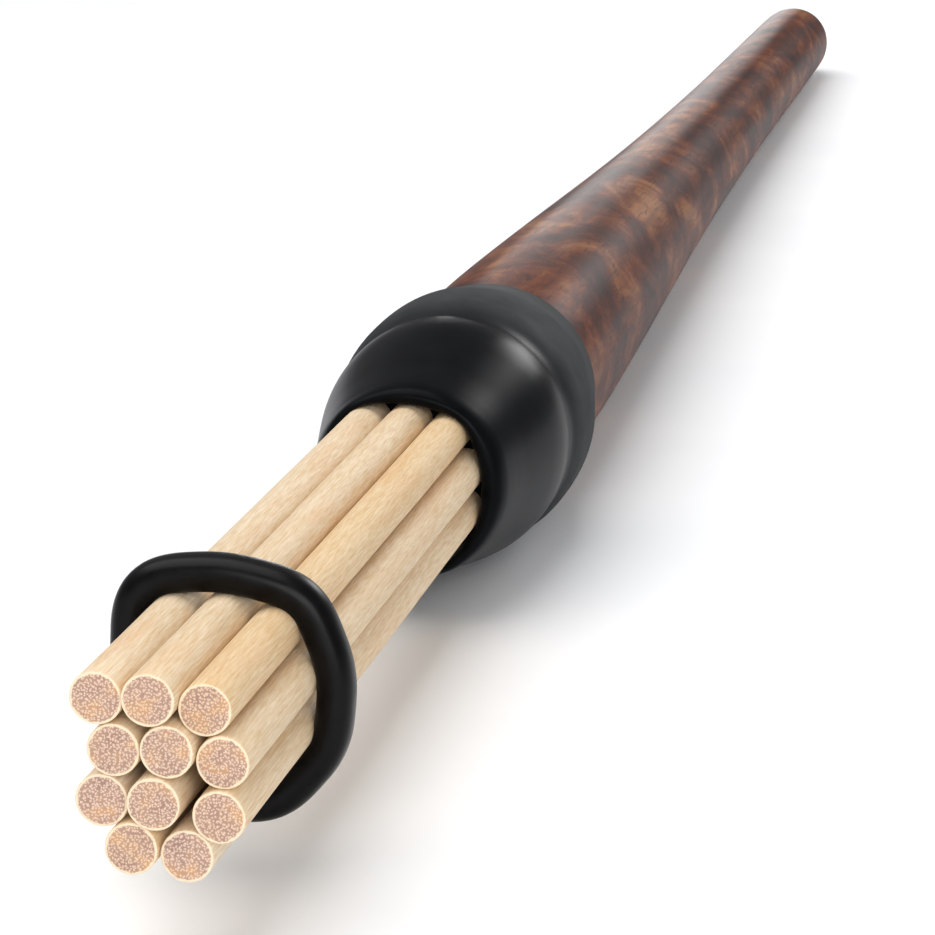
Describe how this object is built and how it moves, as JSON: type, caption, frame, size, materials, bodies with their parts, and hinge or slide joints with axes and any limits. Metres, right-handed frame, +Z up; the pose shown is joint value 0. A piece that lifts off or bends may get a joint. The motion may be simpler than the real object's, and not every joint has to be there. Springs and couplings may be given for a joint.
{
  "type": "multi-rod drumstick",
  "caption": "Drumstick made of a bundle of thin bamboo rods held in a turned wooden handle by a rubber collar, with a sliding rubber ring that tightens the bundle.",
  "frame": {"origin": "middle of the bounding box on the surface the stick lies on, under its axis", "axes": "+X from the dowel tips to the butt of the handle, +Z up, +Y across the stick"},
  "size_m": [0.406, 0.0216, 0.0217],
  "materials": {
    "bamboo": "sanded, unvarnished",
    "ring_rubber": "smooth, slightly glossy",
    "shrink_film": "matte",
    "collar_rubber": "satin, with a matte rear band",
    "hardwood": "stained and clear lacquered",
    "glue": "cured clear amber"
  },
  "bodies": {
    "stick": {"handle": "hardwood", "collar": "collar_rubber", "binding_sleeve": "shrink_film", "bond_disc": "glue", "dowel_01": "bamboo", "dowel_02": "bamboo", "dowel_03": "bamboo", "dowel_04": "bamboo", "dowel_05": "bamboo", "dowel_06": "bamboo", "dowel_07": "bamboo", "dowel_08": "bamboo", "dowel_09": "bamboo", "dowel_10": "bamboo", "dowel_11": "bamboo"},
    "ring": {"tuning_ring": "ring_rubber"}
  },
  "joints": [
    {"name": "ring_slide", "type": "slide", "parent": "stick", "child": "ring", "axis": [0.9998, 0, -0.0173], "range_m": [-0.015, 0.052]}
  ]
}
